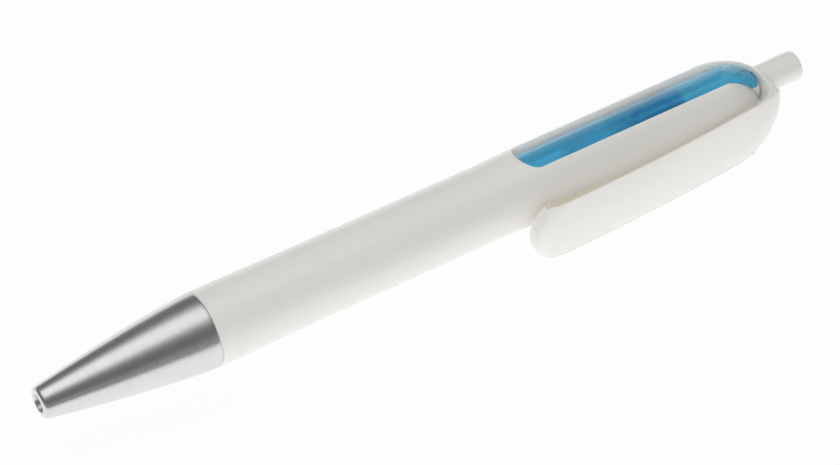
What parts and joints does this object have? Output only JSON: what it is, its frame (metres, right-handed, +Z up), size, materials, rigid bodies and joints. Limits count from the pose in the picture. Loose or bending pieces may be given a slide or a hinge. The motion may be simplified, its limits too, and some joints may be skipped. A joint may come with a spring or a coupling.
{
  "type": "ballpoint pen",
  "caption": "Push-button ballpoint pen in white plastic with a satin metal nose cone, a clear blue tube in a cut-out window and a clip that grows out of a loop round the button.",
  "frame": {"origin": "Bottom centre of the bounding box, on the surface that the pen lies on.", "axes": "+X along the pen from the nose to the button, the clip towards -Y, +Z up from the surface. The pen lies on its side, resting on the barrel and on the clip's lower edge."},
  "size_m": [0.1388, 0.018, 0.0124],
  "materials": {
    "white_plastic": "glossy",
    "satin_metal": "satin",
    "clear_blue_plastic": "clear, glossy",
    "blue_plastic": "satin",
    "spring_steel": "bright",
    "clear_plastic": "clear",
    "ink": "glossy",
    "brass": "satin"
  },
  "bodies": {
    "body": {"barrel_shell": "white_plastic", "guide_sleeve": "clear_blue_plastic"},
    "clip_arm": {"clip": "white_plastic"},
    "nose": {"nose_cone": "satin_metal"},
    "button": {"push_button": "white_plastic", "cam_plunger": "blue_plastic"},
    "refill": {"refill_tube": "clear_plastic", "refill_ink": "ink", "refill_holder": "clear_plastic", "refill_nib": "brass", "nib_ball": "spring_steel", "return_spring": "spring_steel"},
    "rotor": {"cam_rotor": "blue_plastic"}
  },
  "joints": [
    {"name": "button_press", "type": "slide", "parent": "body", "child": "button", "axis": [-1, 0, 0], "range_m": [0, 0.005], "stiffness_N_per_m": 100},
    {"name": "refill_advance", "type": "slide", "parent": "body", "child": "refill", "axis": [-1, 0, 0], "range_m": [0, 0.005], "deforming": ["return_spring"]},
    {"name": "rotor_turn", "type": "hinge", "parent": "refill", "child": "rotor", "pos_m": [0.03105, 0.00284, 0.0062], "axis": [1, 0, 0], "range_deg": [0, 22.5]},
    {"name": "nose_unscrew", "type": "slide", "parent": "body", "child": "nose", "axis": [-1, 0, 0], "range_m": [0, 0.008]},
    {"name": "clip_flex", "type": "hinge", "parent": "body", "child": "clip_arm", "pos_m": [0.05255, -0.0066, 0.0062], "axis": [0, 0, 1], "range_deg": [0, 4], "stiffness_Nm_per_rad": 1.5}
  ],
  "couplings": [
    {"joint": "refill_advance", "follows": "button_press", "ratio": 1},
    {"joint": "rotor_turn", "follows": "button_press", "rad_per_m": 78.54}
  ]
}
